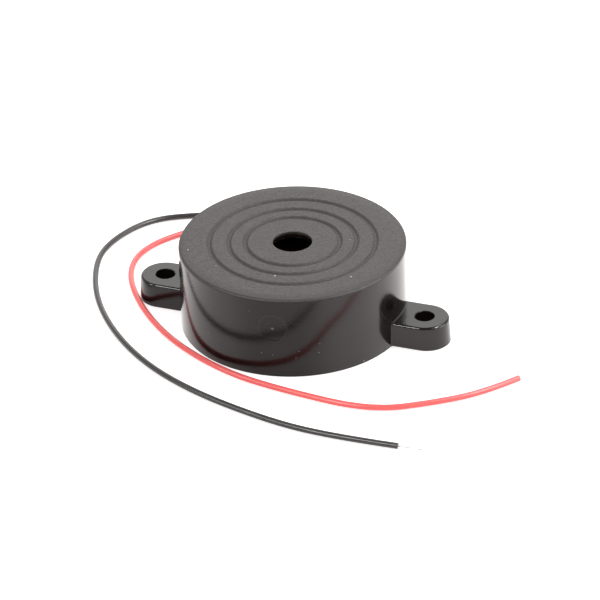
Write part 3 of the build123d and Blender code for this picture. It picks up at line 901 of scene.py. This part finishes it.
def strand_tree(material):
    """Geometry Nodes tree for a bare end: strands that twist about each other and splay."""
    tree, sockets, given = geometry_tree("bare_strands", {
        "Strands": "Int",
        "Strand radius": "Float",
        "Length": "Float",
        "Twist": "Float",
        "Splay": "Float",
        "Start": "Vector",
        "Facing": "Vector",
    })
    nodes = Nodes(tree)
    end = nodes.node("ShaderNodeCombineXYZ", {"Z": given["Length"]})
    line = nodes.node("GeometryNodeCurvePrimitiveLine", {"Start": (0.0, 0.0, 0.0), "End": end})
    line = nodes.node("GeometryNodeResampleCurve", {"Curve": line, "Count": STRAND_STEPS + 1})
    lay = {"Vertices": given["Strands"], "Radius": STRAND_LAY * given["Strand radius"]}
    circle = nodes.node("GeometryNodeMeshCircle", lay)
    middle = nodes.node("GeometryNodePoints", {"Count": 1})
    circle = nodes.node("GeometryNodeMeshToPoints", {"Mesh": circle})
    join = tree.nodes.new("GeometryNodeJoinGeometry")
    tree.links.new(circle.socket, join.inputs[0])
    tree.links.new(middle.socket, join.inputs[0])
    points = Signal(tree, join.outputs[0])
    strands = nodes.node("GeometryNodeInstanceOnPoints", {"Points": points, "Instance": line})
    strands = nodes.node("GeometryNodeRealizeInstances", {"Geometry": strands})
    place = nodes.node("GeometryNodeInputPosition")
    along = nodes.part(place, "Z") / given["Length"]
    wider = 1.0 + given["Splay"] * along * along
    spread = nodes.node("ShaderNodeCombineXYZ", {"X": wider, "Y": wider, "Z": 1.0})
    moved = nodes.node("ShaderNodeVectorMath", {0: place, 1: spread}, {"operation": "MULTIPLY"})
    spun = {"Vector": moved, "Angle": given["Twist"] * along}
    moved = nodes.node("ShaderNodeVectorRotate", spun, {"rotation_type": "Z_AXIS"})
    strands = nodes.node("GeometryNodeSetPosition", {"Geometry": strands, "Position": moved})
    section = {"Resolution": STRAND_SIDES, "Radius": given["Strand radius"]}
    ring = nodes.node("GeometryNodeCurvePrimitiveCircle", section)
    skin = {"Curve": strands, "Profile Curve": ring, "Fill Caps": True}
    strands = nodes.node("GeometryNodeCurveToMesh", skin)
    strands = nodes.node("GeometryNodeSetShadeSmooth", {"Geometry": strands})
    put = {"Geometry": strands, "Translation": given["Start"], "Rotation": given["Facing"]}
    strands = nodes.node("GeometryNodeTransform", put)
    strands = nodes.node("GeometryNodeRealizeInstances", {"Geometry": strands})
    strands = nodes.node("GeometryNodeSetMaterial", {"Geometry": strands, "Material": material})
    nodes.node("NodeGroupOutput", {"Geometry": strands})
    return tree, sockets


class BUZZER_OT_leads(bpy.types.Operator):
    """Makes the red and black leads and the bare strands at their ends"""

    bl_idname = "buzzer.leads"
    bl_label = "Leads and bare ends"

    def execute(self, context):
        sizes = context.scene.buzzer_leads
        tree, sockets = strand_tree(tinned_strands(sizes))
        for name, route, reach, main, other in (
            ("red_lead", RED_ROUTE, sizes.red_length, sizes.red, sizes.red_deep),
            ("black_lead", BLACK_ROUTE, sizes.black_length, sizes.black, sizes.black_pale),
        ):
            slot = name.replace("lead", "pvc")
            lead = lead_curve(name + "_sleeve", route, sizes.radius, insulation(slot, main, other))
            start = Vector(route[-1])
            facing = (start - Vector(route[-2])).normalized()
            mesh = grown(name + "_strands", tree, sockets, {
                "Strands": sizes.strands,
                "Strand radius": sizes.strand_radius,
                "Length": sizes.tip,
                "Twist": sizes.twist,
                "Splay": sizes.splay,
                "Start": tuple(start),
                "Facing": tuple(facing.to_track_quat("Z", "Y").to_euler()),
            })
            strands = show(name + "_strands", mesh)
            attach(strands, BODY)
            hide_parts(name + "_tip")
            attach(lead, BODY)
            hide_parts(name)
        return {"FINISHED"}


class BUZZER_OT_inner_parts(bpy.types.Operator):
    """Gives the cover, the sounding disc and the parts on the board their finishes"""

    bl_idname = "buzzer.inner_parts"
    bl_label = "Cover and inner parts"

    def execute(self, context):
        finishes = {slot: mottled(*row) for slot, row in INNER_FINISHES.items()}
        finishes["resistor_body"] = banded_resistor()
        for slot, names in INNER_NODES.items():
            for name in names:
                part = frame["nodes"][name]
                if not part.material_slots:
                    part.data.materials.append(finishes[slot])
                for held in part.material_slots:
                    held.material = finishes[slot]
        return {"FINISHED"}


def floor_finish(sizes):
    """Pale floor: white to the camera with the object's shadow kept, shaded in reflections."""
    finish = Finish("pale_floor")
    seen = finish.ray("Is Camera Ray")
    mirrored = finish.ray("Is Glossy Ray")
    matt = finish.node("ShaderNodeBsdfDiffuse", {"Color": sizes.floor})
    away = finish.distance((0.0, 0.0, 0.0))
    spun = {"Vector": finish.place, "Angle": math.pi / 2 - sizes.azimuth}
    facing = finish.node("ShaderNodeVectorRotate", spun, {"rotation_type": "Z_AXIS"})
    ahead = finish.part(facing, "X")
    aside = finish.part(facing, "Y")
    # Bearing of the place on the round wall where the camera sees this floor mirrored, at any height
    bearing = aside.bearing(ahead) / (2.0 - HOUSING_HIGH.y / away)
    front = finish.step(bearing, *FRONT_IN) * (1.0 - finish.step(bearing, *FRONT_OUT))
    right = finish.step(aside / away, *RIGHT_IN)
    shades = (sizes.floor_left, sizes.floor_right, sizes.floor_front)
    left_shade, right_shade, front_shade = [tuple(sizes.mirrored_floor * shade) for shade in shades]
    tint = finish.mix(front, finish.mix(right, left_shade, right_shade), front_shade)
    tint = finish.mix(mirrored, WHITE, tint)
    strength = sizes.floor_glow * seen + mirrored
    glow = finish.node("ShaderNodeEmission", {"Color": tint, "Strength": strength})
    both = finish.node("ShaderNodeAddShader", {0: matt, 1: glow})
    finish.node("ShaderNodeOutputMaterial", {"Surface": both})
    return finish.material


def white_sky(sizes):
    """Even light from all round. In reflections it is bright low behind and darker elsewhere."""
    world = bpy.data.worlds.new("white_sky")
    world.use_nodes = True
    nodes = Nodes(world.node_tree)
    nodes.tree.nodes.clear()
    seen = nodes.ray("Is Camera Ray")
    mirrored = nodes.ray("Is Glossy Ray")
    direction = nodes.node("ShaderNodeTexCoord", output="Generated")
    behind = nodes.step(nodes.part(direction, "Y"), *BEHIND_IN)
    overhead = nodes.step(nodes.part(direction, "Z"), *OVERHEAD_IN)
    panels = sizes.sky_front + (sizes.sky_back - sizes.sky_front) * behind * (1.0 - overhead)
    strength = sizes.sky + (1.0 - sizes.sky) * seen + (panels - sizes.sky) * mirrored
    glow = nodes.node("ShaderNodeBackground", {"Color": sizes.sky_colour, "Strength": strength})
    nodes.node("ShaderNodeOutputWorld", {"Surface": glow})
    return world


def aim_camera(sizes):
    """Camera of the photo's view, its focal length given for a square image of IMAGE_PIXELS."""
    turn = sizes.azimuth
    lift = sizes.elevation
    back = Vector((math.sin(turn) * math.cos(lift), -math.cos(turn) * math.cos(lift), math.sin(lift)))
    level = Vector((math.cos(turn), math.sin(turn), 0.0))
    upright = back.cross(level)
    right = level * math.cos(sizes.roll) + upright * math.sin(sizes.roll)
    up = upright * math.cos(sizes.roll) - level * math.sin(sizes.roll)
    target = right * sizes.aside + up * sizes.above
    data = bpy.data.cameras.new("photo_view")
    data.sensor_width = SENSOR_WIDTH
    data.lens = SENSOR_WIDTH * sizes.focal_pixels / IMAGE_PIXELS
    data.clip_start = 0.01
    camera = show("photo_view", data)
    axes = Matrix((right, up, back)).transposed().to_4x4()
    camera.matrix_world = Matrix.Translation(target + back * sizes.distance) @ axes
    return camera


def soft_light(name, power, width, height, place, lights_all):
    """A soft light that faces the object. A reflection panel only shows in glossy surfaces."""
    data = bpy.data.lights.new(name, "AREA")
    data.shape = "RECTANGLE"
    data.energy = power
    data.size = width
    data.size_y = height
    lamp = show(name, data)
    place = Vector(place)
    lamp.matrix_world = Matrix.Translation(place) @ place.to_track_quat("Z", "Y").to_matrix().to_4x4()
    lamp.visible_diffuse = lights_all


class BUZZER_OT_stage(bpy.types.Operator):
    """Makes the floor, the light and the camera"""

    bl_idname = "buzzer.stage"
    bl_label = "Floor, light and camera"

    def execute(self, context):
        scene = context.scene
        sizes = scene.buzzer_stage
        bm = bmesh.new()
        bmesh.ops.create_circle(bm, cap_ends=True, segments=FLOOR_SIDES, radius=sizes.floor_radius)
        mesh = bpy.data.meshes.new("floor")
        bm.to_mesh(mesh)
        bm.free()
        mesh.transform(Matrix.Translation((0, 0, -FLOOR_GAP)))
        mesh.materials.append(floor_finish(sizes))
        show("floor", mesh)
        for lamp in LAMPS:
            soft_light(*lamp)
        scene.world = white_sky(sizes)
        scene.camera = aim_camera(sizes)
        scene.view_settings.view_transform = "Standard"
        return {"FINISHED"}


OPERATORS = (BUZZER_OT_stage, BUZZER_OT_leads, BUZZER_OT_housing, BUZZER_OT_inner_parts)


class BUZZER_PT_panel(bpy.types.Panel):
    """Lists the buzzer's pieces and their sizes"""

    bl_idname = "BUZZER_PT_panel"
    bl_label = "Buzzer"
    bl_space_type = "VIEW_3D"
    bl_region_type = "UI"
    bl_category = "Buzzer"

    def draw(self, context):
        for operator in OPERATORS:
            self.layout.operator(operator.bl_idname)
        for group in ("buzzer_housing", "buzzer_leads", "buzzer_stage"):
            sizes = getattr(context.scene, group)
            box = self.layout.box()
            for name in sizes.__annotations__:
                box.prop(sizes, name)


CLASSES = (HousingSizes, LeadSizes, StageSizes, *OPERATORS, BUZZER_PT_panel)


def register():
    for part in CLASSES:
        bpy.utils.register_class(part)
    bpy.types.Scene.buzzer_housing = PointerProperty(type=HousingSizes)
    bpy.types.Scene.buzzer_leads = PointerProperty(type=LeadSizes)
    bpy.types.Scene.buzzer_stage = PointerProperty(type=StageSizes)


def unregister():
    del bpy.types.Scene.buzzer_stage
    del bpy.types.Scene.buzzer_leads
    del bpy.types.Scene.buzzer_housing
    for part in reversed(CLASSES):
        bpy.utils.unregister_class(part)


def main():
    register()
    bpy.ops.buzzer.stage()
    bpy.ops.buzzer.leads()
    bpy.ops.buzzer.housing()
    bpy.ops.buzzer.inner_parts()
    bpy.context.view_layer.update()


if __name__ == "__main__":
    main()
